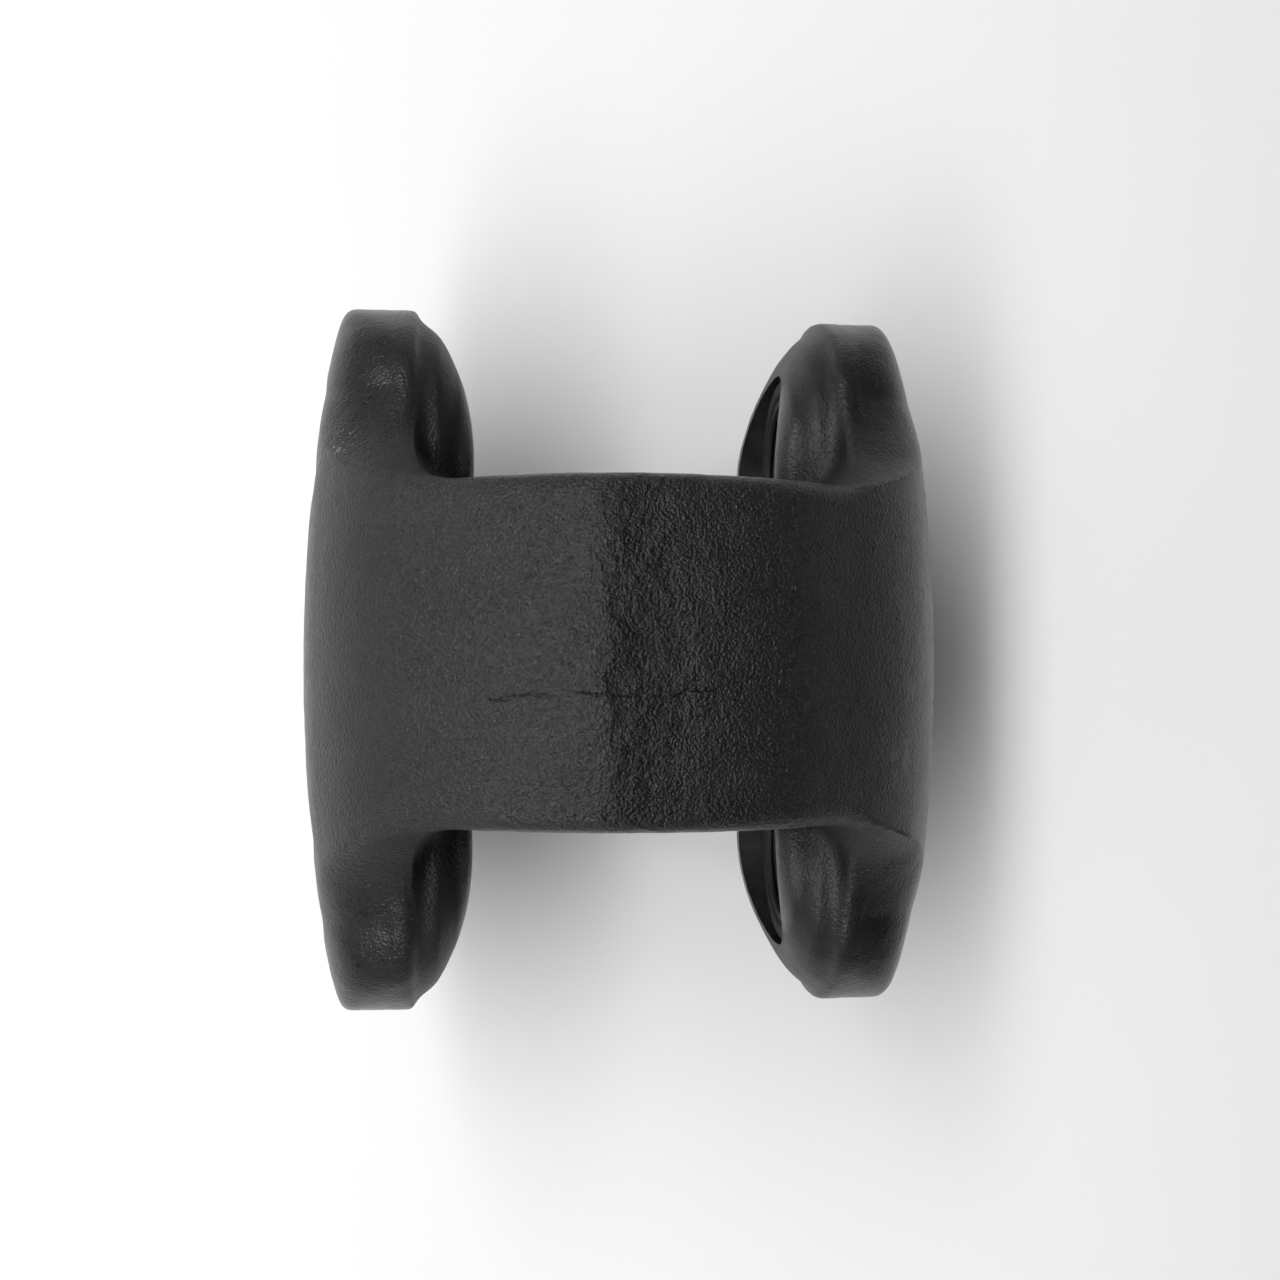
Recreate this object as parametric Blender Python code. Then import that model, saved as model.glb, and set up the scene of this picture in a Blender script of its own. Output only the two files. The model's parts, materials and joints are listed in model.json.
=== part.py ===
"""Centre yoke of a double universal joint, with a bearing set in each of its four bores.

One forged yoke: a ring whose axis is Y, and four ears that run on from the ring's wall, two towards +Y
and two towards -Y. Each ear has a bore along X. Every bore holds a cup, a needle cage, a thrust washer
and a lip seal, kept in by a snap ring in a groove near the outer face. X crosses the ears, Z is up.
The yoke lies on the rear of its ring. The origin is the centre of the ring.
Lengths are in metres. The shape functions below work in millimetres and are scaled once at the end.
"""
import bpy
import bmesh
import numpy as np
from math import cos, sin, pi, radians

MM = 0.001

# ---- driving dimensions, millimetres -------------------------------------------------------------
RING_OUTER = 57.8        # ring outer radius at its front and rear
RING_INNER = 40.5        # ring inner radius
RING_HALF = 28.5         # half the height of the ring along Y
RING_EDGE = 1.8          # rounding of the ring's edges
BARREL = 0.00145         # how fast the outside narrows with Y squared
LAND_AT = 57.3           # flash trimmed to narrow flats here, front and rear

JOINT_Y = 37.5           # distance from the ring centre to each bore axis
EAR_RADIUS = 27.8        # round end of an ear about its bore axis
EAR_OUTER = 58.0         # |X| of the flat pads outside the ears, at mid height
EAR_PROUD = 2.6          # how far the pads' corners stand outside the ring's circle
EAR_EDGE = 8.0           # rounding between an ear's side and its outside
EAR_TIP_ROUND = 1.2      # the same at the ear's end
WALL_INSIDE = 37.8       # inner face of an ear's wall beside its boss
WALL_EDGE = 0.7          # rounding of that face's edge
WALL_FLARE = 3.2         # how far that face leans in at the ring
SHOULDER = 11.0          # the ear's side spreads this far where it meets the ring
SHOULDER_END = 47.0      # |Y| where the spread has died out
FORK_FILLET = 7.5        # fillet where an ear leaves the ring
BOSS_FACE = 27.4         # |X| of the boss face at the bore axis
BOSS_SLOPE = 0.06        # the boss face leans outwards towards the ear's end
BOSS_CURVE = 0.0092      # and is slightly hollow along Y
BOSS_EDGE = 2.4          # rounding of the boss's rim
BOSS_END = 40.0          # |X| where the boss is buried in the wall
BOSS_AT = (30.8, 33.6, 38.0)       # the boss steps out: |X| of each step
BOSS_RADII = (24.0, 25.8, 26.2)    # and the boss's radius there

BORE_RADIUS = 17.5       # 35 mm bearing cups
BORE_CHAMFER = 0.6       # chamfer at the bore's outer end
SPOT_RADIUS = 20.6       # machined face round the outer end of each bore
SPOT_AT = 55.0           # |X| of that face
GROOVE_RADIUS = 19.0     # snap ring groove
GROOVE_FROM = 48.5       # |X| of the groove's inner wall
GROOVE_TO = 50.9         # and of its outer wall

GAP = 0.3                # running and fitting gap between separate pieces
CUP_OUT = 48.5           # |X| of the cup's closed end: 97 mm across a pair
CUP_RADIUS = BORE_RADIUS - GAP    # pressed in, so drawn a gap smaller
CUP_LENGTH = 15.0        # overall
CUP_FLOOR = 3.5          # thickness of the closed end
RACE_RADIUS = 14.6       # what the needles roll in
MOUTH_RADIUS = 15.8      # recess for the seal in the open end
MOUTH_DEPTH = 2.4        # and its depth

NEEDLES = 20             # rollers to a cage
NEEDLE_RADIUS = 1.25     # radius of a roller

WASHER_RADIUS = 10.9     # thrust washer between trunnion end and cup floor
WASHER_HOLE = 2.2        # its grease hole's radius
WASHER_THICK = 1.4       # its thickness

SEAL_LIP = 11.9          # radius of the seal's lips
SNAP_THICK = 1.8         # snap ring thickness
SNAP_OUTER = GROOVE_RADIUS - GAP  # snap ring outer radius
SNAP_INNER = 16.1        # its inner radius beside the lugs
SNAP_LUG = 13.6          # its inner radius at the plier lugs
SNAP_MOUTH = 24.0        # half angle of the snap ring's opening, degrees

FORGING_CELL = 1.9       # grid used to skin the forging
FORGING_FACES = 5000     # triangles kept before machining
ROUND = 48               # sides of a machined bore
SMALL_ROUND = 36         # sides of the turned bearing pieces


# ---- the forging as a distance field, millimetres ------------------------------------------------
def blend_min(a, b, k):
    """Join two distance fields with a fillet of about k."""
    h = np.maximum(k - np.abs(a - b), 0.0) / k
    return np.minimum(a, b) - h * h * k * 0.25


def blend_max(a, b, k):
    """Intersect two distance fields with an edge rounded by about k."""
    return -blend_min(-a, -b, k)


def forging(x, y, z):
    """Signed distance to the unmachined forging, which is symmetric about all three planes."""
    x, y, z = np.abs(x), np.abs(y), np.abs(z)
    around = np.sqrt(x * x + z * z)

    # the outside that ring and ears share: a barrel with flat pads towards +X and -X
    swell = np.clip((x - 30.0) / 22.0, 0.0, 1.0)
    outside = around - RING_OUTER - EAR_PROUD * swell * swell * (3.0 - 2.0 * swell)
    outside = blend_max(outside, x - EAR_OUTER, 3.0) + BARREL * y * y

    ring = blend_max(y - RING_HALF, RING_INNER - around, RING_EDGE * 2.0)
    ring = blend_max(ring, outside, RING_EDGE * 2.0)

    # the ear's wall: a strip with a round end, spreading into a shoulder where it meets the ring
    along = np.maximum(y - JOINT_Y, 0.0)
    rise = np.clip((SHOULDER_END - y) / (SHOULDER_END - RING_HALF), 0.0, 1.0)
    spread = EAR_RADIUS + SHOULDER * rise * rise
    ear = np.sqrt(along * along + z * z) - spread
    flare = WALL_FLARE * rise * np.clip((spread - z) / SHOULDER, 0.0, 1.0)
    ear = blend_max(ear, WALL_INSIDE - flare - x, WALL_EDGE * 2.0)

    # its outer edge is sharp at the ring, soft along the side and sharp again at the tip
    tip = np.clip(along / EAR_RADIUS, 0.0, 1.0)
    edge = RING_EDGE + (EAR_EDGE - RING_EDGE) * (1.0 - rise)
    edge = edge + (EAR_TIP_ROUND - edge) * tip * tip
    ear = blend_max(ear, outside, edge * 2.0)

    # the boss round the bore
    out = y - JOINT_Y
    boss = np.sqrt(out * out + z * z) - np.interp(x, BOSS_AT, BOSS_RADII)
    boss = blend_max(boss, BOSS_FACE + BOSS_SLOPE * out + BOSS_CURVE * out * out - x, BOSS_EDGE * 2.0)
    boss = np.maximum(boss, x - BOSS_END)

    body = blend_min(blend_min(ear, ring, FORK_FILLET), boss, 2.6)
    body = np.maximum(body, outside)
    return blend_max(body, z - LAND_AT, 0.6)


def skin(field, reach, cell):
    """Wrap the zero surface of a distance field in quads, one vertex to each crossed grid cell."""
    axes = [np.arange(-(int(r / cell) + 2), int(r / cell) + 3) * cell + cell * 0.37 for r in reach]
    gx, gy, gz = np.meshgrid(*axes, indexing="ij")
    value = field(gx, gy, gz)
    inside = value < 0.0
    shape = tuple(n - 1 for n in value.shape)
    total = np.zeros(shape + (3,))
    count = np.zeros(shape)
    corners = [(i, j, k) for i in (0, 1) for j in (0, 1) for k in (0, 1)]

    def corner(array, at):
        return array[at[0]:at[0] + shape[0], at[1]:at[1] + shape[1], at[2]:at[2] + shape[2]]

    for at in corners:
        for axis in range(3):
            if at[axis]:
                continue
            end = list(at)
            end[axis] = 1
            a, b = corner(value, at), corner(value, end)
            crossed = (a < 0.0) != (b < 0.0)
            part = np.where(crossed, a / np.where(crossed, a - b, 1.0), 0.0)
            point = np.array(at, float) + part[..., None] * np.eye(3)[axis]
            total += np.where(crossed[..., None], point, 0.0)
            count += crossed
    used = count > 0
    index = np.full(shape, -1)
    index[used] = np.arange(int(used.sum()))
    cells = np.argwhere(used)
    base = np.stack([axes[i][cells[:, i]] for i in range(3)], axis=1)
    points = base + total[used] / count[used][:, None] * cell

    quads = []
    for axis in range(3):
        u, v = (axis + 1) % 3, (axis + 2) % 3
        step = np.eye(3, dtype=int)
        low = [slice(1, n - 1) for n in value.shape]
        high = list(low)
        low[axis], high[axis] = slice(0, value.shape[axis] - 1), slice(1, value.shape[axis])
        start, stop = inside[tuple(low)], inside[tuple(high)]
        for forward in (True, False):
            hit = (start & ~stop) if forward else (~start & stop)
            at = np.argwhere(hit)
            at[:, u] += 1
            at[:, v] += 1
            ring = [at - step[u] - step[v], at - step[v], at, at - step[u]]
            if not forward:
                ring.reverse()
            quads.append(np.stack([index[c[:, 0], c[:, 1], c[:, 2]] for c in ring], axis=1))
    return points, np.concatenate(quads)


def settle(points, field, rounds=4):
    """Slide vertices onto the zero surface along the field's gradient."""
    e = 0.05
    for _ in range(rounds):
        x, y, z = points.T
        d = field(x, y, z)
        g = np.stack([field(x + e, y, z) - field(x - e, y, z),
                      field(x, y + e, z) - field(x, y - e, z),
                      field(x, y, z + e) - field(x, y, z - e)], axis=1) / (2.0 * e)
        size = np.maximum((g * g).sum(axis=1), 0.2)
        points = points - g * (d / size)[:, None]
    return points


# ---- mesh helpers --------------------------------------------------------------------------------
def material(name, colour, metal, rough):
    made = bpy.data.materials.new(name)
    made.use_nodes = True
    shader = made.node_tree.nodes["Principled BSDF"]
    shader.inputs["Base Color"].default_value = (*colour, 1.0)
    shader.inputs["Metallic"].default_value = metal
    shader.inputs["Roughness"].default_value = rough
    made.diffuse_color = (*colour, 1.0)
    return made


def new_object(name, bm, look, location=(0.0, 0.0, 0.0), smooth=35.0):
    """Turn a bmesh in millimetres into an object in metres, faces outwards."""
    bmesh.ops.scale(bm, vec=(MM, MM, MM), verts=bm.verts)
    bmesh.ops.recalc_face_normals(bm, faces=bm.faces)
    mesh = bpy.data.meshes.new(name)
    bm.to_mesh(mesh)
    bm.free()
    thing = bpy.data.objects.new(name, mesh)
    bpy.context.scene.collection.objects.link(thing)
    thing.location = tuple(v * MM for v in location)
    if look is not None:
        mesh.materials.append(look)
    round_off(thing, smooth)
    return thing


def round_off(thing, angle):
    thing.data.polygons.foreach_set("use_smooth", [True] * len(thing.data.polygons))
    thing.data.set_sharp_from_angle(angle=radians(angle))


def turned(profile, side, sides=SMALL_ROUND):
    """Revolve (distance out along X, radius) points about the bore axis. Ends on the axis close up."""
    bm = bmesh.new()
    rows = []
    for out, radius in profile:
        if radius == 0.0:
            rows.append([bm.verts.new((side * out, 0.0, 0.0))])
            continue
        rows.append([bm.verts.new((side * out, radius * cos(2 * pi * i / sides),
                                   radius * sin(2 * pi * i / sides))) for i in range(sides)])
    closed = profile[0][1] != 0.0
    for first, second in zip(rows, rows[1:] + ([rows[0]] if closed else [])):
        for i in range(sides):
            j = (i + 1) % sides
            loop = [first[i % len(first)], first[j % len(first)], second[j % len(second)],
                    second[i % len(second)]]
            loop = list(dict.fromkeys(loop))
            if len(loop) > 2:
                bm.faces.new(loop)
    return bm


def band_prism(outer, inner, start, stop, side):
    """A tube along X whose outer and inner outlines are lists of (y, z) with equal counts."""
    bm = bmesh.new()
    rows = [[bm.verts.new((side * out, y, z)) for y, z in outline]
            for out, outline in ((start, outer), (stop, outer), (stop, inner), (start, inner))]
    count = len(outer)
    for first, second in zip(rows, rows[1:] + rows[:1]):
        for i in range(count):
            j = (i + 1) % count
            bm.faces.new((first[i], first[j], second[j], second[i]))
    return bm


def apply_modifier(thing, modifier):
    view = bpy.context.view_layer
    view.objects.active = thing
    for other in view.objects:
        other.select_set(other is thing)
    bpy.ops.object.modifier_apply(modifier=modifier.name)


def cut(thing, tool):
    """Subtract the tool from the thing and throw the tool away."""
    modifier = thing.modifiers.new("cut", "BOOLEAN")
    modifier.operation = "DIFFERENCE"
    modifier.solver = "EXACT"
    modifier.object = tool
    apply_modifier(thing, modifier)
    bpy.data.objects.remove(tool, do_unlink=True)


# ---- pieces --------------------------------------------------------------------------------------
def make_yoke(look):
    points, quads = skin(forging, (RING_OUTER, JOINT_Y + EAR_RADIUS, RING_OUTER), FORGING_CELL)
    points = settle(points, forging)
    mesh = bpy.data.meshes.new("yoke_forging")
    mesh.from_pydata((points * MM).tolist(), [], quads.tolist())
    yoke = bpy.data.objects.new("yoke_forging", mesh)
    bpy.context.scene.collection.objects.link(yoke)
    mesh.materials.append(look)

    thin = yoke.modifiers.new("thin", "DECIMATE")
    thin.ratio = FORGING_FACES / (2.0 * len(quads))
    apply_modifier(yoke, thin)

    # one stepped cutter per bore: bore, snap ring groove, outer face and inner chamfer
    face = BOSS_FACE - 3.0
    steps = [(face, 0.0), (face, BORE_RADIUS), (GROOVE_FROM, BORE_RADIUS), (GROOVE_FROM, GROOVE_RADIUS),
             (GROOVE_TO, GROOVE_RADIUS), (GROOVE_TO, BORE_RADIUS), (SPOT_AT - BORE_CHAMFER, BORE_RADIUS),
             (SPOT_AT, BORE_RADIUS + BORE_CHAMFER), (SPOT_AT, SPOT_RADIUS),
             (RING_OUTER + 5.0, SPOT_RADIUS), (RING_OUTER + 5.0, 0.0)]
    for side in (1, -1):
        for end in (1, -1):
            tool = new_object("bore_cutter", turned(steps, side, ROUND), None, (0.0, end * JOINT_Y, 0.0))
            cut(yoke, tool)
    round_off(yoke, 38.0)
    return yoke


def cup_profile():
    mouth = CUP_OUT - CUP_LENGTH
    floor = CUP_OUT - CUP_FLOOR
    return [(CUP_OUT, 0.0), (CUP_OUT, CUP_RADIUS - 0.9), (CUP_OUT - 0.9, CUP_RADIUS),
            (mouth, CUP_RADIUS), (mouth, MOUTH_RADIUS), (mouth + MOUTH_DEPTH, MOUTH_RADIUS),
            (mouth + MOUTH_DEPTH, RACE_RADIUS), (floor, RACE_RADIUS), (floor, 0.0)]


def seal_profile():
    """A flange over the cup's rim, a plug in its mouth and two lips that would ride on a trunnion."""
    mouth = CUP_OUT - CUP_LENGTH
    plug = MOUTH_RADIUS - GAP
    return [(mouth - GAP, CUP_RADIUS - 0.5), (mouth - GAP, plug), (mouth + MOUTH_DEPTH - GAP, plug),
            (mouth + MOUTH_DEPTH - GAP, SEAL_LIP), (mouth + 1.5, SEAL_LIP), (mouth + 0.6, SEAL_LIP + 1.5),
            (mouth - 0.5, SEAL_LIP), (mouth - 1.3, SEAL_LIP), (mouth - 1.3, CUP_RADIUS - 0.5)]


def cage_outlines():
    """Outlines of rollers standing out of a thin cage wall, inside and outside its pitch circle."""
    pitch = RACE_RADIUS - GAP - NEEDLE_RADIUS
    outer, inner = [], []
    for i in range(NEEDLES):
        middle = 2 * pi * i / NEEDLES
        for part in (-1.0, -0.42, 0.42, 1.0):
            lift = NEEDLE_RADIUS * cos(part * radians(69.0))
            aside = NEEDLE_RADIUS * sin(part * radians(69.0)) / pitch
            for outline, sign in ((outer, 1.0), (inner, -1.0)):
                radius = pitch + sign * lift
                outline.append((radius * cos(middle + aside), radius * sin(middle + aside)))
    return outer, inner


def make_snap_ring(name, side, location, look):
    """A ring with an opening, swollen at each end of it to carry a plier hole."""
    out = GROOVE_FROM + GAP
    back = out + SNAP_THICK
    span = 360.0 - 2.0 * SNAP_MOUTH
    lug = 15.0
    stops = [0.0, lug, lug + 2.0]
    stops += [lug + 2.0 + (span - 2.0 * lug - 4.0) * i / 24 for i in range(1, 24)]
    stops += [span - stop for stop in (lug + 2.0, lug, 0.0)]
    bm = bmesh.new()
    rows = []
    for stop in stops:
        turn = radians(SNAP_MOUTH + stop)
        width = SNAP_INNER - 0.9 * sin(radians(180.0 * stop / span))
        if min(stop, span - stop) <= lug:
            width = SNAP_LUG
        rows.append([bm.verts.new((side * at, radius * sin(turn), -radius * cos(turn)))
                     for at, radius in ((out, SNAP_OUTER), (back, SNAP_OUTER), (back, width), (out, width))])
    for first, second in zip(rows, rows[1:]):
        for i in range(4):
            j = (i + 1) % 4
            bm.faces.new((first[i], first[j], second[j], second[i]))
    bm.faces.new(rows[0])
    bm.faces.new(rows[-1])
    ring = new_object(name, bm, look, location)

    for way in (1, -1):
        turn = radians(SNAP_MOUTH + lug * 0.5)
        hole = turned([(out - 1.0, 0.0), (out - 1.0, 1.0), (back + 1.0, 1.0), (back + 1.0, 0.0)], side, 12)
        bmesh.ops.translate(hole, vec=(0.0, way * 15.7 * sin(turn), -15.7 * cos(turn)), verts=hole.verts)
        cut(ring, new_object("hole_cutter", hole, None, location))
    round_off(ring, 35.0)


def make_bearing(end, side, looks):
    """The five pieces that one bore holds."""
    tag = ("a" if end > 0 else "b") + ("_right" if side > 0 else "_left")
    at = (0.0, end * JOINT_Y, 0.0)
    mouth = CUP_OUT - CUP_LENGTH
    floor = CUP_OUT - CUP_FLOOR

    new_object("cup_" + tag, turned(cup_profile(), side), looks["cup"], at)
    new_object("seal_" + tag, turned(seal_profile(), side), looks["seal"], at)

    outer, inner = cage_outlines()
    cage = band_prism(outer, inner, mouth + MOUTH_DEPTH + GAP, floor - 0.5 - GAP, side)
    new_object("needle_cage_" + tag, cage, looks["needle"], at)

    start, stop = floor - GAP - WASHER_THICK, floor - GAP
    washer = [(start, WASHER_HOLE), (start, WASHER_RADIUS), (stop, WASHER_RADIUS), (stop, WASHER_HOLE)]
    new_object("thrust_washer_" + tag, turned(washer, side, 24), looks["washer"], at)
    make_snap_ring("snap_ring_" + tag, side, at, looks["snap"])


def build():
    for thing in list(bpy.data.objects):
        bpy.data.objects.remove(thing, do_unlink=True)
    looks = {
        "yoke": material("black_painted_forging", (0.018, 0.018, 0.02), 0.0, 0.5),
        "cup": material("ground_steel", (0.3, 0.3, 0.31), 1.0, 0.28),
        "needle": material("needle_steel", (0.7, 0.71, 0.73), 1.0, 0.15),
        "washer": material("washer_nylon", (0.72, 0.68, 0.56), 0.0, 0.55),
        "seal": material("seal_rubber", (0.02, 0.02, 0.02), 0.0, 0.7),
        "snap": material("phosphated_spring_steel", (0.09, 0.09, 0.1), 1.0, 0.45),
    }
    make_yoke(looks["yoke"])
    for end in (1, -1):
        for side in (1, -1):
            make_bearing(end, side, looks)


build()
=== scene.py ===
import json
from math import cos, pi, radians, sin

import bmesh
import bpy
import numpy as np
from mathutils import Matrix, Vector

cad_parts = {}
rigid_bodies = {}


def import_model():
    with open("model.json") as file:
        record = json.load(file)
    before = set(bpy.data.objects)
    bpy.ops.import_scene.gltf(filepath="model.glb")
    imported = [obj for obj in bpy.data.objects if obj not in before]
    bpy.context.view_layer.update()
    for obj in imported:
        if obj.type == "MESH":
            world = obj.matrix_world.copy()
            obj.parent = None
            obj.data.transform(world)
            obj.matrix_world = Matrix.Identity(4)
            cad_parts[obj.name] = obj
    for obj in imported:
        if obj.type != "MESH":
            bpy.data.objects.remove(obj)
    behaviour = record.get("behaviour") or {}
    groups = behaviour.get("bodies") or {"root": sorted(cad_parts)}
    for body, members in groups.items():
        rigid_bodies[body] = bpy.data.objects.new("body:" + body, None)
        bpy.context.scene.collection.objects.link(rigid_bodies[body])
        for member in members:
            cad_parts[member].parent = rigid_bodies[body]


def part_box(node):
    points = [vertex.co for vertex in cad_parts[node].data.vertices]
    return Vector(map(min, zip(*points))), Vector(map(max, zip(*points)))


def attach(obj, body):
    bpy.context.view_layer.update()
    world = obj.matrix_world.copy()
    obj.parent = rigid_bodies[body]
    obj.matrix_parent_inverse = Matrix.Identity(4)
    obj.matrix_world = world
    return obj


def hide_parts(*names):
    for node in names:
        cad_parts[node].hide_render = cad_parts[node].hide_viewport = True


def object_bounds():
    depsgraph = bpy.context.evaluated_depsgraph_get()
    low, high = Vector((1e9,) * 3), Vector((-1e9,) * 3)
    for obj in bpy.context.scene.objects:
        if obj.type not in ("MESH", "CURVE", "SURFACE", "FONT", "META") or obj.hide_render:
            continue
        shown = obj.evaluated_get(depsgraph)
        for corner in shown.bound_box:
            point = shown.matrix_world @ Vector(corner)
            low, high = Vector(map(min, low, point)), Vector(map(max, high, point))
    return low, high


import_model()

CAD_BOX = [[float(v) for v in corner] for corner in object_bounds()]
MM = 0.001

# ---- the forging's shape, millimetres: the same numbers as the CAD part ---------------------------
RING_OUTER, RING_INNER, RING_HALF, RING_EDGE = 57.8, 40.5, 28.5, 1.8
BARREL, EAR_OUTER, EAR_PROUD, LAND_AT = 0.00145, 58.0, 2.6, 57.3
JOINT_Y, EAR_RADIUS, EAR_TIP_ROUND, EAR_EDGE = 37.5, 27.8, 1.2, 8.0
WALL_INSIDE, WALL_EDGE, WALL_FLARE = 37.8, 0.7, 3.2
SHOULDER, SHOULDER_END, FORK_FILLET = 11.0, 47.0, 7.5
BOSS_FACE, BOSS_SLOPE, BOSS_CURVE, BOSS_EDGE, BOSS_END = 27.4, 0.06, 0.0092, 2.4, 40.0
BOSS_AT, BOSS_RADII = (30.8, 33.6, 38.0), (24.0, 25.8, 26.2)
BORE_RADIUS, BORE_CHAMFER, SPOT_RADIUS, SPOT_AT = 17.5, 0.6, 20.6, 55.0
GROOVE_RADIUS, GROOVE_FROM, GROOVE_TO = 19.0, 48.5, 50.9
CUP_FLOOR, RACE_RADIUS, MOUTH_RADIUS, MOUTH_DEPTH = 3.5, 14.6, 15.8, 2.4
NEEDLES, NEEDLE_RADIUS = 20, 1.25

SEAM_AT = -8.0           # X of the parting line round the band, millimetres
SKIN_CELL = 0.8          # grid that the forging is skinned on
SKIN_SHRINK = 0.16       # room kept under the CAD surface for the scale's lumps
ROUND = 128              # sides of a turned piece


def blend_min(a, b, k):
    """Join two distance fields with a fillet of about k."""
    h = np.maximum(k - np.abs(a - b), 0.0) / k
    return np.minimum(a, b) - h * h * k * 0.25


def blend_max(a, b, k):
    return -blend_min(-a, -b, k)


def forging(x, y, z):
    """Signed distance to the unmachined forging."""
    x, y, z = np.abs(x), np.abs(y), np.abs(z)
    around = np.sqrt(x * x + z * z)
    swell = np.clip((x - 30.0) / 22.0, 0.0, 1.0)
    outside = around - RING_OUTER - EAR_PROUD * swell * swell * (3.0 - 2.0 * swell)
    outside = blend_max(outside, x - EAR_OUTER, 3.0) + BARREL * y * y
    ring = blend_max(y - RING_HALF, RING_INNER - around, RING_EDGE * 2.0)
    ring = blend_max(ring, outside, RING_EDGE * 2.0)

    along = np.maximum(y - JOINT_Y, 0.0)
    rise = np.clip((SHOULDER_END - y) / (SHOULDER_END - RING_HALF), 0.0, 1.0)
    spread = EAR_RADIUS + SHOULDER * rise * rise
    ear = np.sqrt(along * along + z * z) - spread
    flare = WALL_FLARE * rise * np.clip((spread - z) / SHOULDER, 0.0, 1.0)
    ear = blend_max(ear, WALL_INSIDE - flare - x, WALL_EDGE * 2.0)
    tip = np.clip(along / EAR_RADIUS, 0.0, 1.0)
    edge = RING_EDGE + (EAR_EDGE - RING_EDGE) * (1.0 - rise)
    edge = edge + (EAR_TIP_ROUND - edge) * tip * tip
    ear = blend_max(ear, outside, edge * 2.0)

    out = y - JOINT_Y
    boss = np.sqrt(out * out + z * z) - np.interp(x, BOSS_AT, BOSS_RADII)
    boss = blend_max(boss, BOSS_FACE + BOSS_SLOPE * out + BOSS_CURVE * out * out - x, BOSS_EDGE * 2.0)
    boss = np.maximum(boss, x - BOSS_END)

    body = blend_min(blend_min(ear, ring, FORK_FILLET), boss, 2.6)
    body = np.maximum(body, outside)
    return blend_max(body, z - LAND_AT, 0.6)


def skin(field, reach, cell):
    """Wrap the zero surface of a distance field in quads, one vertex to each crossed grid cell."""
    axes = [np.arange(-(int(r / cell) + 2), int(r / cell) + 3) * cell + cell * 0.37 for r in reach]
    gx, gy, gz = np.meshgrid(*axes, indexing="ij")
    value = field(gx, gy, gz)
    inside = value < 0.0
    shape = tuple(n - 1 for n in value.shape)
    total = np.zeros(shape + (3,))
    count = np.zeros(shape)

    def corner(at):
        return value[at[0]:at[0] + shape[0], at[1]:at[1] + shape[1], at[2]:at[2] + shape[2]]

    for at in ((i, j, k) for i in (0, 1) for j in (0, 1) for k in (0, 1)):
        for axis in range(3):
            if at[axis]:
                continue
            end = list(at)
            end[axis] = 1
            a, b = corner(at), corner(end)
            crossed = (a < 0.0) != (b < 0.0)
            part = np.where(crossed, a / np.where(crossed, a - b, 1.0), 0.0)
            for i in range(3):
                step = at[i] + (part if i == axis else 0.0)
                total[..., i] += np.where(crossed, step, 0.0)
            count += crossed
    used = count > 0
    index = np.full(shape, -1)
    index[used] = np.arange(int(used.sum()))
    cells = np.argwhere(used)
    base = np.stack([axes[i][cells[:, i]] for i in range(3)], axis=1)
    points = base + total[used] / count[used][:, None] * cell

    quads = []
    for axis in range(3):
        u, v = (axis + 1) % 3, (axis + 2) % 3
        step = np.eye(3, dtype=int)
        low = [slice(1, n - 1) for n in value.shape]
        high = list(low)
        low[axis], high[axis] = slice(0, value.shape[axis] - 1), slice(1, value.shape[axis])
        start, stop = inside[tuple(low)], inside[tuple(high)]
        for forward in (True, False):
            at = np.argwhere((start & ~stop) if forward else (~start & stop))
            at[:, u] += 1
            at[:, v] += 1
            ring = [at - step[u] - step[v], at - step[v], at, at - step[u]]
            if not forward:
                ring.reverse()
            quads.append(np.stack([index[c[:, 0], c[:, 1], c[:, 2]] for c in ring], axis=1))
    return points, np.concatenate(quads)


def slope(points, field):
    """Gradient of the field at the points, which is outward, and the field's value there."""
    e = 0.05
    x, y, z = points.T
    g = np.stack([field(x + e, y, z) - field(x - e, y, z),
                  field(x, y + e, z) - field(x, y - e, z),
                  field(x, y, z + e) - field(x, y, z - e)], axis=1) / (2.0 * e)
    return g, field(x, y, z)


def settle(points, field, rounds=4):
    """Slide vertices onto the zero surface along the field's gradient."""
    for _ in range(rounds):
        g, d = slope(points, field)
        points = points - g * (d / np.maximum((g * g).sum(axis=1), 0.2))[:, None]
    return points


def lumps(points, size, seed):
    """Smooth noise from -1 to 1 with features of that size, the same on every run."""
    q = points / size + seed * 17.31
    low = np.floor(q).astype(np.int64)
    part = q - low
    part = part * part * (3.0 - 2.0 * part)
    total = np.zeros(len(points))
    for i in (0, 1):
        for j in (0, 1):
            for k in (0, 1):
                n = (low[:, 0] + i) * 73856093 ^ (low[:, 1] + j) * 19349663 ^ (low[:, 2] + k) * 83492791
                n = (n ^ (n >> 13)) * 1274126177 & 0x7FFFFFFF
                value = (n ^ (n >> 16)) % 20011 / 10005.0 - 1.0
                weight = (np.where(i, part[:, 0], 1 - part[:, 0])
                          * np.where(j, part[:, 1], 1 - part[:, 1])
                          * np.where(k, part[:, 2], 1 - part[:, 2]))
                total += value * weight
    return total


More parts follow.
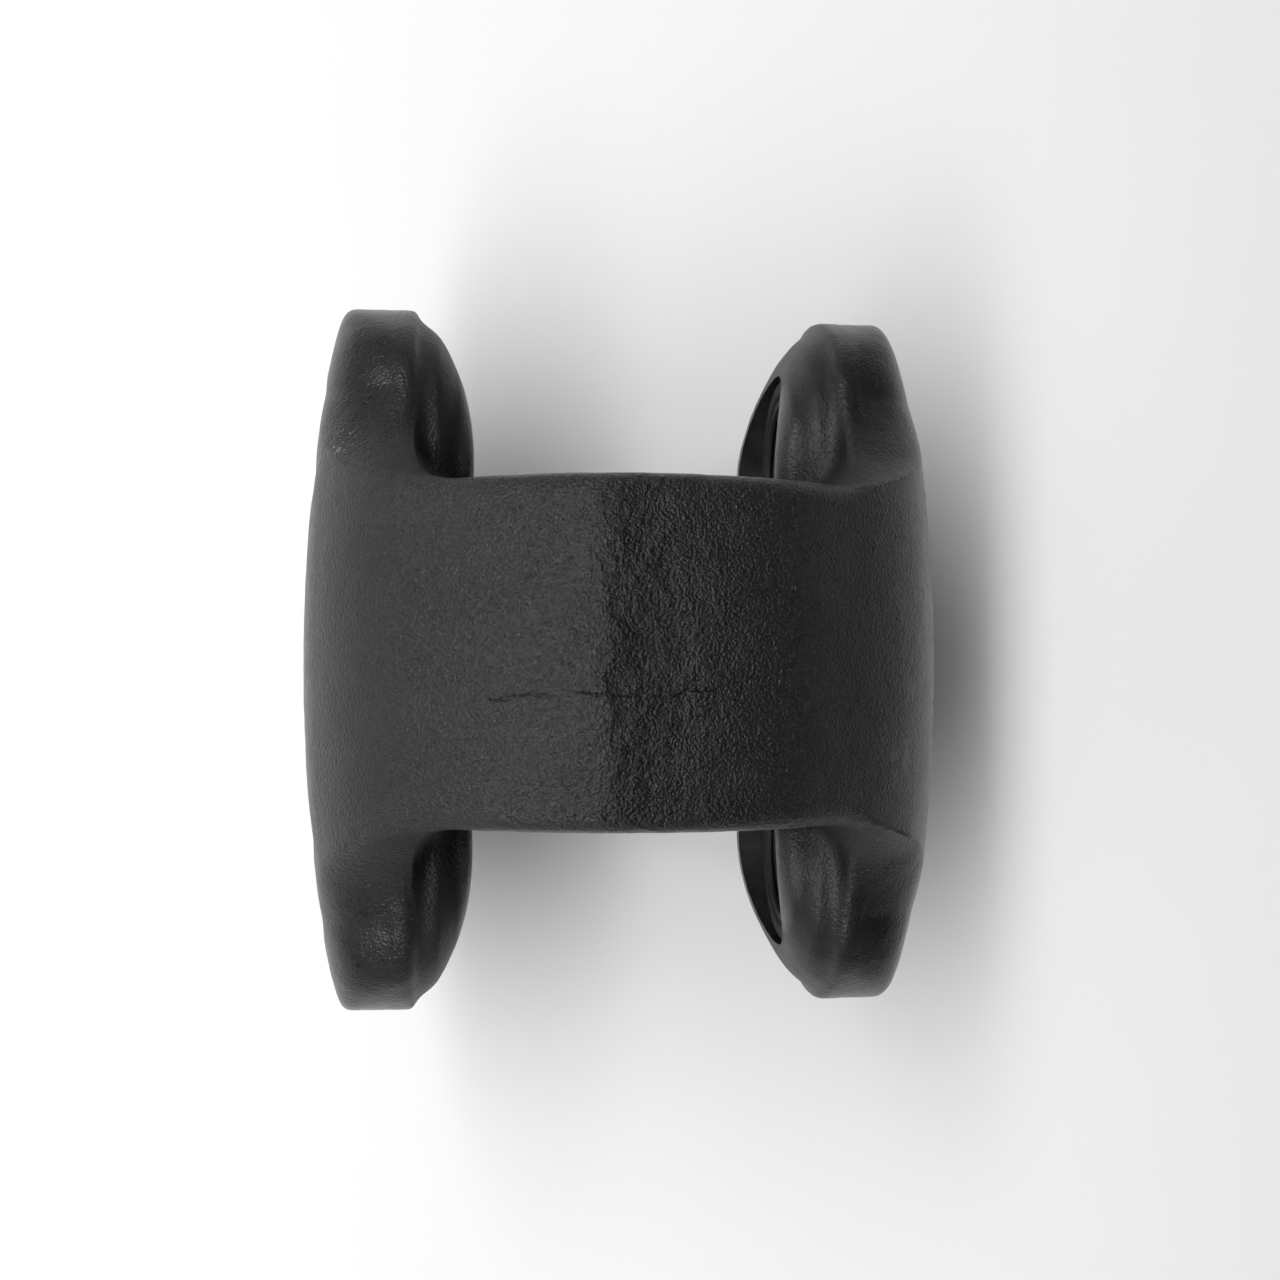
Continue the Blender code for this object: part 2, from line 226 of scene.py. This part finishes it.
# ---- materials ------------------------------------------------------------------------------------
class Nodes:
    """Short hand for building a material's node tree."""

    def __init__(self, name):
        self.material = bpy.data.materials.new(name)
        self.material.use_nodes = True
        self.tree = self.material.node_tree
        self.shader = self.tree.nodes["Principled BSDF"]
        self.place = self.add("ShaderNodeTexCoord").outputs["Object"]

    def add(self, kind, **values):
        node = self.tree.nodes.new(kind)
        for key, value in values.items():
            setattr(node, key, value)
        return node

    def feed(self, value, socket):
        if isinstance(value, bpy.types.NodeSocket):
            self.tree.links.new(value, socket)
        else:
            socket.default_value = value

    def noise(self, size_mm, detail=2.0, rough=0.5, place=None):
        node = self.add("ShaderNodeTexNoise")
        node.inputs["Scale"].default_value = 1.0 / (size_mm * MM)
        node.inputs["Detail"].default_value = detail
        node.inputs["Roughness"].default_value = rough
        self.feed(place or self.place, node.inputs["Vector"])
        return node.outputs["Fac"]

    def cells(self, size_mm, feature="F1", place=None):
        node = self.add("ShaderNodeTexVoronoi", feature=feature)
        node.inputs["Scale"].default_value = 1.0 / (size_mm * MM)
        self.feed(place or self.place, node.inputs["Vector"])
        return node.outputs["Distance"]

    def math(self, operation, a, b=0.0, c=0.0):
        node = self.add("ShaderNodeMath", operation=operation)
        for value, socket in zip((a, b, c), node.inputs):
            self.feed(value, socket)
        return node.outputs[0]

    def ramp(self, value, low, high, out_low=0.0, out_high=1.0):
        node = self.add("ShaderNodeMapRange")
        for v, key in ((value, "Value"), (low, "From Min"), (high, "From Max"),
                       (out_low, "To Min"), (out_high, "To Max")):
            self.feed(v, node.inputs[key])
        return node.outputs["Result"]

    def times(self, a, b):
        return self.math("MULTIPLY", a, b)

    def most(self, a, b):
        return self.math("MAXIMUM", a, b)

    def fade(self, distance, near_mm, far_mm, at_near=1.0, at_far=0.0):
        """A ramp over a distance whose ends are given in millimetres."""
        return self.ramp(distance, near_mm * MM, far_mm * MM, at_near, at_far)

    def mix(self, factor, a, b):
        node = self.add("ShaderNodeMix", data_type="RGBA")
        self.feed(factor, node.inputs["Factor"])
        for colour, socket in ((a, node.inputs[6]), (b, node.inputs[7])):
            self.feed((*colour, 1.0) if isinstance(colour, tuple) else colour, socket)
        return node.outputs[2]

    def axis(self, name):
        node = self.add("ShaderNodeSeparateXYZ")
        self.feed(self.place, node.inputs[0])
        return node.outputs[name]

    def off(self, name, middle_mm=0.0):
        """Distance from the plane across an axis at middle_mm, on either side of it."""
        return self.math("ABSOLUTE", self.math("SUBTRACT", self.axis(name), middle_mm * MM))

    def bump(self, height, distance_mm, strength=1.0, under=None):
        node = self.add("ShaderNodeBump")
        node.inputs["Distance"].default_value = distance_mm * MM
        self.feed(strength, node.inputs["Strength"])
        self.feed(height, node.inputs["Height"])
        if under is not None:
            self.feed(under, node.inputs["Normal"])
        return node.outputs["Normal"]

    def near(self, x, y, z, reach):
        """1 at a point given in millimetres, fading to 0 at reach."""
        node = self.add("ShaderNodeVectorMath", operation="DISTANCE")
        self.feed(self.place, node.inputs[0])
        node.inputs[1].default_value = (x * MM, y * MM, z * MM)
        return self.fade(node.outputs["Value"], reach * 0.35, reach)

    def finish(self, colour, roughness, normal=None, **plain):
        colour = (*colour, 1.0) if isinstance(colour, tuple) else colour
        self.feed(colour, self.shader.inputs["Base Color"])
        self.feed(roughness, self.shader.inputs["Roughness"])
        if normal is not None:
            self.feed(normal, self.shader.inputs["Normal"])
        for key, value in plain.items():
            self.shader.inputs[key.replace("_", " ")].default_value = value
        return self.material


def parting_line(n, outer):
    """Torn flash along the seam, and a fall from 1 to 0 as the band leans away past it."""
    torn = n.times(outer, n.fade(n.off("X", SEAM_AT + 6.0), 2.5, 9.5))
    jag = n.times(n.noise(7.0, 5.0, 0.62), 12.0 * MM)
    past = n.math("SUBTRACT", n.math("ADD", n.axis("X"), jag), (SEAM_AT + 6.5) * MM)
    lean = n.fade(past, 0.0, 21.0)
    return torn, n.times(lean, lean)


def hairline_lap(n):
    """A thin folded line that wanders across the top of the band and breaks up on the way."""
    wander = n.times(n.noise(8.0, 4.0, 0.6), 7.0 * MM)
    from_line = n.math("ABSOLUTE", n.math("ADD", n.axis("Y"), n.math("ADD", wander, 3.0 * MM)))
    lap = n.times(n.fade(from_line, 0.08, 0.34), n.ramp(n.noise(5.0, 1.0), 0.40, 0.47))
    lap = n.times(lap, n.fade(n.off("X", -8.0), 16.0, 20.0))
    return n.times(lap, n.fade(n.axis("Z"), 30.0, 40.0, 0.0, 1.0))


def painted_forging():
    n = Nodes("satin_black_over_scale")
    # grain is coarser on the ring's band than on the ears
    band = n.fade(n.off("Y"), RING_HALF - 1.5, RING_HALF + 13.5, 1.0, 0.4)
    outer = n.fade(n.off("Z"), 44.0, 50.0, 0.0, 1.0)
    torn, lean = parting_line(n, outer)
    lap = hairline_lap(n)
    warped = n.add("ShaderNodeMixRGB", blend_type="ADD")
    warped.inputs[0].default_value = 0.6 * MM
    n.feed(n.place, warped.inputs[1])
    n.feed(n.noise(1.4, 2.0), warped.inputs[2])
    grain = n.math("ADD", n.cells(0.50, "SMOOTH_F1", warped.outputs[0]), n.noise(0.36, 2.0, 0.6))
    pits = n.ramp(n.cells(2.6), 0.0, 0.16, 1.0, 0.0)
    pits = n.times(pits, n.times(band, n.ramp(n.noise(9.0), 0.56, 0.66)))

    normal = n.bump(n.noise(6.0, 3.0, 0.55), 0.45, 0.5)
    normal = n.bump(lean, 2.3, outer, normal)
    normal = n.bump(n.noise(1.3, 4.0, 0.65), 0.40, n.times(torn, 0.8), normal)
    normal = n.bump(grain, 0.25, band, normal)
    normal = n.bump(n.noise(0.26, 2.0, 0.55), 0.15, n.times(band, 0.8), normal)
    normal = n.bump(n.math("SUBTRACT", 1.0, pits), 0.05, 0.5, normal)
    normal = n.bump(n.math("SUBTRACT", 1.0, lap), 0.24, 0.9, normal)

    tone = n.mix(n.ramp(n.noise(14.0, 4.0, 0.6), 0.35, 0.7),
                 (0.0065, 0.0066, 0.0070), (0.0110, 0.0110, 0.0113))
    tone = n.mix(n.most(n.times(pits, 0.25), lap), tone, (0.004, 0.004, 0.004))

    # on the bosses: a painted highlight along the rim of the face, painted shade in the step behind it
    on_ear = n.fade(n.off("Y"), RING_HALF + 0.5, RING_HALF + 4.5, 0.0, 1.0)
    inward = n.off("X")
    # where the painted highlight goes: the rim of each boss face
    highlit_rim = n.times(on_ear, n.fade(inward, BOSS_AT[0] - 1.6, BOSS_AT[0] - 0.6))
    boss = n.times(on_ear, n.fade(inward, BOSS_END - 4.0, BOSS_END))
    from_step = n.math("ABSOLUTE", n.math("SUBTRACT", inward, (BOSS_AT[0] + 0.4) * MM))
    # painted shade: the step behind the boss rim is darkened where shade falls
    step_shade = n.times(boss, n.fade(from_step, 0.5, 1.4))
    # painted highlight: the rim of the boss face is lightened as if it caught the light
    tone = n.mix(n.times(highlit_rim, 0.8), tone, (0.034, 0.034, 0.035))
    # painted shade in the step behind the rim
    tone = n.mix(n.times(step_shade, 0.7), tone, (0.003, 0.003, 0.003))

    # paint rubbed thin on the sharpest edges, scuffed on one outer corner and nicked on two ears
    edge = n.add("ShaderNodeNewGeometry").outputs["Pointiness"]
    worn = n.times(n.ramp(edge, 0.53, 0.60), n.ramp(n.noise(1.6, 4.0, 0.7), 0.56, 0.68))
    scuff = n.most(n.near(50.0, -6.0, 33.7, 8.0), n.near(46.5, -18.0, 38.4, 6.5))
    scuff = n.times(scuff, n.ramp(n.noise(3.4, 3.0, 0.6), 0.52, 0.60))
    nick = n.most(n.near(-49.7, 35.5, 26.5, 3.8), n.near(52.5, 40.5, 21.5, 3.5))
    nick = n.times(nick, n.ramp(n.noise(0.9, 2.0, 0.6), 0.58, 0.64))
    tone = n.mix(n.times(worn, 0.5), tone, (0.09, 0.088, 0.085))
    tone = n.mix(n.times(scuff, 0.7), tone, (0.13, 0.13, 0.128))
    tone = n.mix(nick, tone, (0.24, 0.235, 0.23))

    rough = n.ramp(n.noise(3.5, 4.0, 0.65), 0.3, 0.75, 0.26, 0.34)
    rough = n.math("ADD", rough, n.times(n.most(worn, scuff), 0.15))
    rough = n.math("ADD", rough, n.times(n.math("SUBTRACT", boss, highlit_rim), 0.16))
    return n.finish(tone, rough, normal, Specular_IOR_Level=0.40)


def turned_face(name, dark, light, roughness, metallic=0.0, line_mm=0.22, depth=0.012):
    """A lathe or borer's finish: fine rings about the bore axis, over a thin film."""
    n = Nodes(name)
    away = n.math("SUBTRACT", n.off("Y"), JOINT_Y * MM)
    radius = n.math("SQRT", n.math("ADD", n.times(away, away), n.times(n.axis("Z"), n.axis("Z"))))
    line = n.add("ShaderNodeCombineXYZ")
    n.feed(radius, line.inputs[0])
    n.feed(n.axis("X"), line.inputs[1])
    lines = n.noise(line_mm, 2.0, 0.6, line.outputs[0])
    smear = n.noise(5.0, 4.0, 0.6)
    tone = n.mix(n.ramp(smear, 0.35, 0.7), dark, light)
    rough = n.ramp(n.math("ADD", smear, n.times(lines, 0.3)), 0.35, 0.95,
                   roughness * 0.75, roughness * 1.3)
    return n.finish(tone, rough, n.bump(lines, depth, 0.8), Metallic=metallic)


def moulded(name, dark, light, roughness):
    """Rubber or plastic out of a mould: faintly uneven, with a patchy sheen."""
    n = Nodes(name)
    smear = n.noise(4.0, 4.0, 0.6)
    normal = n.bump(n.noise(0.5, 2.0), 0.02, 0.5, n.bump(n.noise(3.0, 2.0), 0.05, 0.4))
    rough = n.ramp(smear, 0.3, 0.7, roughness - 0.08, roughness + 0.08)
    return n.finish(n.mix(n.ramp(smear, 0.35, 0.7), dark, light), rough, normal)


def phosphated():
    """Dark crystalline coat of a spring steel ring."""
    n = Nodes("phosphated_spring_steel")
    crystals = n.noise(0.18, 2.0)
    smear = n.noise(2.5, 4.0, 0.6)
    tone = n.mix(n.ramp(smear, 0.35, 0.7), (0.035, 0.034, 0.033), (0.075, 0.073, 0.07))
    return n.finish(tone, n.ramp(smear, 0.3, 0.7, 0.38, 0.55), n.bump(crystals, 0.02, 0.5), Metallic=0.8)


# ---- mesh helpers -----------------------------------------------------------------------------------
def link(name, mesh, looks, smooth=35.0):
    thing = bpy.data.objects.new(name, mesh)
    bpy.context.scene.collection.objects.link(thing)
    for look in looks:
        mesh.materials.append(look)
    mesh.polygons.foreach_set("use_smooth", [True] * len(mesh.polygons))
    mesh.set_sharp_from_angle(angle=radians(smooth))
    return thing


def from_bmesh(name, bm, looks, smooth=35.0):
    bmesh.ops.scale(bm, vec=(MM, MM, MM), verts=bm.verts)
    bmesh.ops.recalc_face_normals(bm, faces=bm.faces)
    mesh = bpy.data.meshes.new(name)
    bm.to_mesh(mesh)
    bm.free()
    return link(name, mesh, looks, smooth)


def turned(profile, side, centre_y, sides=ROUND):
    """Revolve (distance out along X, radius) points about a bore axis. Ends on the axis close up."""
    bm = bmesh.new()
    add_turned(bm, profile, side, centre_y, 0.0, sides)
    return bm


def add_turned(bm, profile, side, centre_y, centre_z, sides):
    rows = []
    for out, radius in profile:
        if radius == 0.0:
            rows.append([bm.verts.new((side * out, centre_y, centre_z))])
            continue
        rows.append([bm.verts.new((side * out, centre_y + radius * cos(2 * pi * i / sides),
                                   centre_z + radius * sin(2 * pi * i / sides))) for i in range(sides)])
    closed = profile[0][1] != 0.0
    for first, second in zip(rows, rows[1:] + ([rows[0]] if closed else [])):
        for i in range(sides):
            j = (i + 1) % sides
            loop = [first[i % len(first)], first[j % len(first)], second[j % len(second)],
                    second[i % len(second)]]
            loop = list(dict.fromkeys(loop))
            if len(loop) > 2:
                bm.faces.new(loop)


def eased(profile, radius, steps=3):
    """Replace each corner of a profile by a small arc. Points on the axis stay."""
    closed = profile[0][1] != 0.0
    count = len(profile)
    made = []
    for i, point in enumerate(profile):
        if not closed and i in (0, count - 1):
            made.append(point)
            continue
        here = np.array(point)
        before, after = np.array(profile[i - 1]), np.array(profile[(i + 1) % count])
        back, on = before - here, after - here
        reach = min(radius, 0.45 * np.linalg.norm(back), 0.45 * np.linalg.norm(on))
        start = here + back / np.linalg.norm(back) * reach
        stop = here + on / np.linalg.norm(on) * reach
        for step in range(steps + 1):
            t = step / steps
            made.append(tuple((1 - t) ** 2 * start + 2 * t * (1 - t) * here + t * t * stop))
    return made


def cut(thing, tool):
    modifier = thing.modifiers.new("cut", "BOOLEAN")
    modifier.operation = "DIFFERENCE"
    modifier.solver = "EXACT"
    modifier.material_mode = "TRANSFER"
    modifier.object = tool
    view = bpy.context.view_layer
    view.objects.active = thing
    for other in view.objects:
        other.select_set(other is thing)
    bpy.ops.object.modifier_apply(modifier=modifier.name)
    bpy.data.objects.remove(tool, do_unlink=True)


def place(thing, node, body, slot):
    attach(thing, body)
    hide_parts(node)


# ---- the yoke ---------------------------------------------------------------------------------------
def draft(points):
    """How far the die's draft lets the band fall away on each side of its torn parting line, mm."""
    x, y, z = points.T
    flat = points * (0.0, 1.0, 1.0)
    seam = x - SEAM_AT + 1.9 * lumps(flat, 7.0, 5) + 0.8 * lumps(flat, 2.4, 6)
    away = np.abs(seam)
    fall = 0.5 * np.clip(away / 9.0, 0.0, 1.0) * np.clip(1.0 - (away - 9.0) / 22.0, 0.0, 1.0)
    torn = np.clip(1.0 - away / 6.0, 0.0, 1.0) * (1.0 + lumps(points, 1.9, 7))
    on_band = np.clip((RING_HALF - 1.0 - np.abs(y)) / 3.0, 0.0, 1.0)
    outer = np.clip(np.abs(z) / 8.0 - 4.0, 0.0, 1.0)
    return on_band * outer * (fall + 0.09 * torn)


def make_yoke(paint, machined):
    def field(x, y, z):
        return forging(x, y, z) + SKIN_SHRINK

    points, quads = skin(field, (RING_OUTER, JOINT_Y + EAR_RADIUS, RING_OUTER), SKIN_CELL)
    points = settle(points, field)
    g, _ = slope(points, field)
    normal = g / np.linalg.norm(g, axis=1)[:, None]
    rise = 0.055 * lumps(points, 11.0, 1) + 0.045 * lumps(points, 4.5, 2) + 0.03 * lumps(points, 2.2, 3)
    rise -= draft(points)
    points = points + normal * rise[:, None]

    mesh = bpy.data.meshes.new("yoke")
    mesh.from_pydata((points * MM).tolist(), [], quads.tolist())
    yoke = link("yoke", mesh, [paint, machined])
    deep = BOSS_FACE - 4.0
    steps = [(deep, 0.0), (deep, BORE_RADIUS), (GROOVE_FROM, BORE_RADIUS), (GROOVE_FROM, GROOVE_RADIUS),
             (GROOVE_TO, GROOVE_RADIUS), (GROOVE_TO, BORE_RADIUS), (SPOT_AT - BORE_CHAMFER, BORE_RADIUS),
             (SPOT_AT, BORE_RADIUS + BORE_CHAMFER), (SPOT_AT, SPOT_RADIUS),
             (RING_OUTER + 5.0, SPOT_RADIUS), (RING_OUTER + 5.0, 0.0)]
    for end in (1, -1):
        for side in (1, -1):
            cut(yoke, from_bmesh("cutter", turned(steps, side, end * JOINT_Y), [machined]))
    yoke.data.set_sharp_from_angle(angle=radians(32.0))
    place(yoke, "yoke_forging", "yoke", "black_paint")


# ---- the bearings -----------------------------------------------------------------------------------
def span(node):
    """Nearest and furthest |X| of a CAD node and its largest radius about the bore axis, in mm."""
    low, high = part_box(node)
    near, far = sorted((abs(low[0]) / MM, abs(high[0]) / MM))
    return near, far, (high[1] - low[1]) / 2 / MM


def make_cup(tag, side, y, look):
    near, far, radius = span("cup_" + tag)
    floor, mouth = far - CUP_FLOOR, near + MOUTH_DEPTH
    profile = [(far, 0.0), (far, 9.0), (far - 0.25, 9.6), (far - 0.25, radius - 1.6), (far, radius - 1.1),
               (far - 0.2, radius - 0.8), (far - 0.9, radius), (near, radius), (near, MOUTH_RADIUS),
               (mouth, MOUTH_RADIUS), (mouth, RACE_RADIUS), (floor, RACE_RADIUS), (floor, 0.0)]
    return from_bmesh("cup_shell_" + tag, turned(eased(profile, 0.3), side, y), [look])


def make_seal(tag, side, y, look):
    near, far, radius = span("seal_" + tag)
    lip, heel = 11.9, MOUTH_RADIUS - 0.3
    profile = [(near + 1.0, radius), (near + 1.0, heel), (far, heel), (far, lip + 0.9), (far - 0.7, lip),
               (near + 2.6, lip), (near + 1.8, lip + 1.5), (near + 1.2, lip + 1.5), (near + 0.9, lip),
               (near + 0.1, lip + 0.1), (near + 0.25, lip + 0.9), (near + 0.45, lip + 1.3),
               (near + 0.45, lip + 1.9), (near, lip + 2.3), (near, radius - 0.4), (near + 0.3, radius)]
    return from_bmesh("lip_seal_" + tag, turned(eased(profile, 0.25), side, y), [look], 50.0)


def make_washer(tag, side, y, look):
    near, far, radius = span("thrust_washer_" + tag)
    hole = 2.2
    profile = [(near, hole), (near, 4.2), (near + 0.25, 4.6), (near + 0.25, 5.2), (near, 5.6),
               (near, radius - 0.4), (near + 0.3, radius), (far, radius), (far, hole)]
    return from_bmesh("washer_" + tag, turned(eased(profile, 0.15), side, y, 96), [look])


def make_needles(tag, side, y, steel):
    """Rollers on a pitch circle, held by a cage of two hoops with a bar between neighbours."""
    near, far, radius = span("needle_cage_" + tag)
    pitch = radius - NEEDLE_RADIUS
    wall, half_bar = 0.42, 0.035        # half the cage's thickness, mm, and half a bar's angle
    bm = bmesh.new()
    for start, stop in ((near, near + 0.9), (far - 0.9, far)):
        ring = [(start, pitch - wall), (start, pitch + wall), (stop, pitch + wall), (stop, pitch - wall)]
        add_turned(bm, eased(ring, 0.12, 2), side, y, 0.0, 120)
    start, stop = near + 1.1, far - 1.1
    roller = eased([(start, 0.0), (start, NEEDLE_RADIUS), (stop, NEEDLE_RADIUS), (stop, 0.0)], 0.35)
    for i in range(NEEDLES):
        turn = 2 * pi * i / NEEDLES
        add_turned(bm, roller, side, y + pitch * cos(turn), pitch * sin(turn), 24)
        low, high = turn + pi / NEEDLES - half_bar, turn + pi / NEEDLES + half_bar
        corners = [(r * cos(a), r * sin(a)) for a, r in ((low, pitch - wall), (high, pitch - wall),
                                                         (high, pitch + wall), (low, pitch + wall))]
        rows = [[bm.verts.new((side * out, y + v, w)) for v, w in corners]
                for out in (near + 0.8, far - 0.8)]
        bm.faces.new(rows[0])
        bm.faces.new(rows[1])
        for a in range(4):
            b = (a + 1) % 4
            bm.faces.new((rows[0][a], rows[0][b], rows[1][b], rows[1][a]))
    return from_bmesh("needles_" + tag, bm, [steel])


def make_snap_ring(tag, side, y, look):
    """An open ring, widest opposite its gap, with a drilled lug at each end."""
    near, far, _ = span("snap_ring_" + tag)
    outer, thin_inner, lug_inner, opening = 18.7, 16.1, 13.6, 15.7     # radii
    lug, mouth = 15.0, 24.0             # degrees: a lug's length and half of the gap
    reach = 360.0 - 2.0 * mouth
    count = 132
    bm = bmesh.new()
    rows = []
    for i in range(count + 1):
        stop = reach * i / count
        turn = radians(mouth + stop)
        inner = thin_inner - 0.9 * sin(radians(180.0 * stop / reach))
        end = min(stop, reach - stop)
        swell = min(max((lug + 1.5 - end) / 3.0, 0.0), 1.0)
        corner = max(0.0, 1.0 - end / 2.2)
        inner += (lug_inner - inner) * swell * swell * (3.0 - 2.0 * swell) + 0.9 * corner * corner
        edge = 0.12
        section = [(near + edge, outer), (far - edge, outer), (far, outer - edge), (far, inner + edge),
                   (far - edge, inner), (near + edge, inner), (near, inner + edge), (near, outer - edge)]
        rows.append([bm.verts.new((side * out, y + r * sin(turn), -r * cos(turn))) for out, r in section])
    for first, second in zip(rows, rows[1:]):
        for i in range(8):
            j = (i + 1) % 8
            bm.faces.new((first[i], first[j], second[j], second[i]))
    bm.faces.new(rows[0])
    bm.faces.new(rows[-1])
    ring = from_bmesh("retaining_ring_" + tag, bm, [look])
    for way in (1, -1):
        turn = radians(mouth + lug * 0.5)
        hole = bmesh.new()
        tool = [(near - 1.0, 0.0), (near - 1.0, 1.0), (far + 1.0, 1.0), (far + 1.0, 0.0)]
        add_turned(hole, tool, side, y + way * opening * sin(turn), -opening * cos(turn), 32)
        cut(ring, from_bmesh("cutter", hole, [look]))
    ring.data.set_sharp_from_angle(angle=radians(35.0))
    return ring


# ---- stage ------------------------------------------------------------------------------------------
def make_floor():
    n = Nodes("pale_table")
    tone = n.mix(n.noise(220.0, 3.0), (0.86, 0.865, 0.87), (0.90, 0.90, 0.90))
    n.finish(tone, n.ramp(n.noise(60.0), 0.3, 0.7, 0.62, 0.72), n.bump(n.noise(1.5), 0.01, 0.2))
    bm = bmesh.new()
    reach, cuts = 2.6, 12
    bmesh.ops.create_grid(bm, x_segments=cuts, y_segments=cuts, size=reach)
    mesh = bpy.data.meshes.new("table_top")
    bm.to_mesh(mesh)
    bm.free()
    table = link("table_top", mesh, [n.material])
    table.location = (0.0, 0.0, CAD_BOX[0][2] - 0.0002)


def panel(name, centre, width, height, watts):
    """A soft box at centre, facing the middle of the object. Its width lies along Y."""
    data = bpy.data.lights.new(name, "AREA")
    data.shape = "RECTANGLE"
    data.size, data.size_y = width, height
    data.energy = watts
    lamp = bpy.data.objects.new(name, data)
    bpy.context.scene.collection.objects.link(lamp)
    lamp.location = centre
    lamp.rotation_mode = "QUATERNION"
    lamp.rotation_quaternion = (-Vector(centre)).to_track_quat("-Z", "Y")


def make_lights():
    panel("strip", (-0.55, 0.0, 1.06), 2.2, 0.18, 19.0)
    panel("ceiling", (-0.50, 0.0, 1.16), 1.8, 0.66, 3.9)
    panel("window", (-1.10, 0.0, 0.70), 1.5, 1.3, 3.2)
    for way in (1, -1):
        panel("bounce", (0.0, way * 1.3, 0.9), 1.6, 0.9, 1.6)
    world = bpy.data.worlds.new("room")
    world.use_nodes = True
    back = world.node_tree.nodes["Background"]
    back.inputs["Color"].default_value = (1.0, 1.0, 1.0, 1.0)
    back.inputs["Strength"].default_value = 0.03
    bpy.context.scene.world = world


def make_camera():
    """Above the table, turned a little so that the inner faces on the right show."""
    sensor, lens = 36.0, 42.958
    turn, tip = -0.129, -0.031          # radians away from straight down
    # where the middle of the object lies from the camera: to its right, up and ahead, in metres
    across, upward, distance = -0.0047594, -0.0035888, 0.293125
    c, s, ct, st = cos(turn), sin(turn), cos(tip), sin(tip)
    right = Vector((c, 0.0, -s))
    up = Vector((-st * s, ct, -st * c))
    ahead = Vector((-ct * s, -st, -ct * c))
    data = bpy.data.cameras.new("camera")
    data.sensor_width = sensor
    data.lens = lens
    data.clip_start, data.clip_end = 0.01, 20.0
    camera = bpy.data.objects.new("camera", data)
    bpy.context.scene.collection.objects.link(camera)
    place_at = -(right * across + up * upward + ahead * distance)
    camera.matrix_world = Matrix((
        (right.x, up.x, -ahead.x, place_at.x),
        (right.y, up.y, -ahead.y, place_at.y),
        (right.z, up.z, -ahead.z, place_at.z),
        (0.0, 0.0, 0.0, 1.0)))
    bpy.context.scene.camera = camera


def build():
    make_camera()
    paint = painted_forging()
    bored = turned_face("bored_and_oiled", (0.012, 0.012, 0.012), (0.024, 0.023, 0.022), 0.34)
    ground = turned_face("ground_steel", (0.22, 0.22, 0.225), (0.32, 0.32, 0.325), 0.30, 1.0, 0.15, 0.006)
    needle = turned_face("needle_steel", (0.55, 0.55, 0.56), (0.68, 0.68, 0.69), 0.16, 1.0, 0.1, 0.003)
    rubber = moulded("black_rubber", (0.006, 0.006, 0.006), (0.011, 0.011, 0.011), 0.75)
    nylon = moulded("natural_nylon", (0.62, 0.57, 0.44), (0.72, 0.68, 0.56), 0.5)
    spring = phosphated()

    make_yoke(paint, bored)
    for end, letter in ((1, "a"), (-1, "b")):
        for side, hand in ((1, "right"), (-1, "left")):
            tag = letter + "_" + hand
            y = end * JOINT_Y
            place(make_cup(tag, side, y, ground), "cup_" + tag, "yoke", "ground_steel")
            place(make_seal(tag, side, y, rubber), "seal_" + tag, "yoke", "seal_rubber")
            place(make_washer(tag, side, y, nylon), "thrust_washer_" + tag, "yoke", "washer_nylon")
            place(make_snap_ring(tag, side, y, spring), "snap_ring_" + tag, "yoke", "spring_steel")
            place(make_needles(tag, side, y, needle), "needle_cage_" + tag, "needles_" + tag, "needle_steel")
    make_floor()
    make_lights()
    bpy.context.scene.view_settings.view_transform = "Standard"


build()
